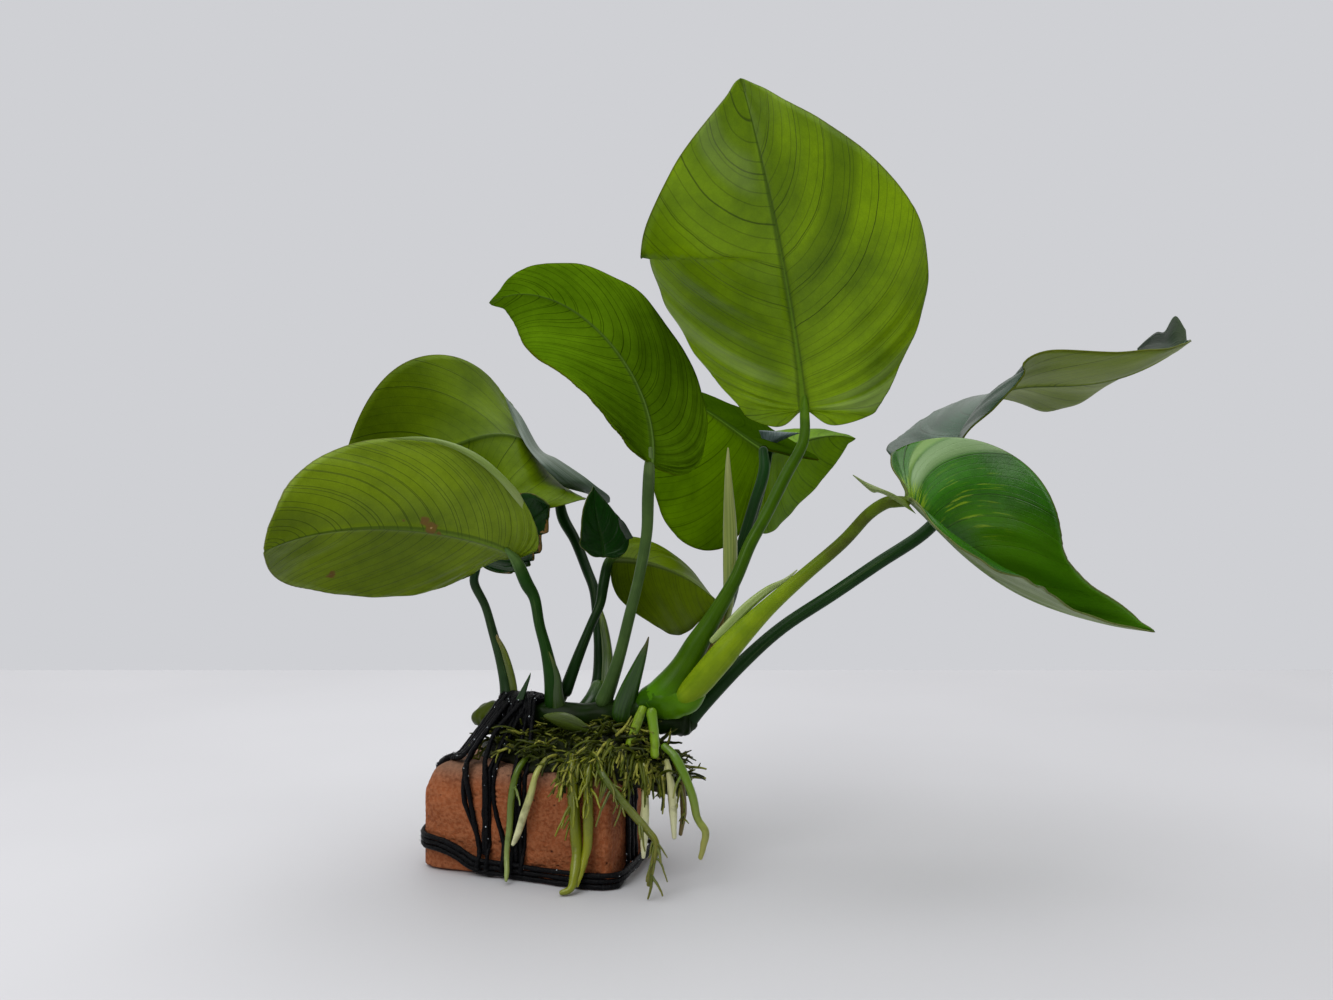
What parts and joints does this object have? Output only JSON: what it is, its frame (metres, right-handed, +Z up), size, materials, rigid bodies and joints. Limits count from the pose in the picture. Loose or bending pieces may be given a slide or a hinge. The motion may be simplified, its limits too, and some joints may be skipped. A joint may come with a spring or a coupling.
{
  "type": "water plant on stone",
  "caption": "Broad-leaved water plant with a creeping rhizome and hanging roots, tied with black thread to a short block of fired clay that it stands on.",
  "frame": {"origin": "the middle of the clay block's flat underside", "axes": "+Z up, +X to the right and +Y away from the viewer in the pictured view"},
  "size_m": [0.2907, 0.1566, 0.2347],
  "materials": {
    "clay": "rough",
    "leaf": "satin",
    "young_leaf": "satin",
    "stalk": "satin",
    "bract": "satin",
    "rhizome": "satin",
    "root_mat": "rough",
    "root_green": "satin",
    "root_pale": "satin",
    "thread": "rough"
  },
  "bodies": {
    "root": {"bract_flat": "bract", "bract_left": "bract", "bract_middle": "bract", "clay_block": "clay", "leaf_back": "leaf", "leaf_back_left": "leaf", "leaf_back_right": "leaf", "leaf_drooping": "leaf", "leaf_front_left": "leaf", "leaf_low": "leaf", "leaf_middle": "leaf", "leaf_rolled": "young_leaf", "leaf_tall": "leaf", "leaf_torn": "leaf", "leaf_twisted": "leaf", "leaf_young": "leaf", "rhizome": "rhizome", "root_brown": "root_green", "root_cluster_left": "root_green", "root_cluster_right": "root_green", "root_cream": "root_pale", "root_crown_left": "root_pale", "root_crown_right": "root_pale", "root_green": "root_green", "root_long": "root_green", "root_mat": "root_mat", "root_pale_back": "root_pale", "root_pale_front": "root_pale", "root_slanting": "root_green", "stalk_back": "stalk", "stalk_back_left": "stalk", "stalk_back_right": "stalk", "stalk_drooping": "stalk", "stalk_front_left": "stalk", "stalk_low": "stalk", "stalk_middle": "stalk", "stalk_tall": "stalk", "stalk_torn": "stalk", "stalk_twisted": "stalk", "thread": "thread"}
  },
  "joints": []
}
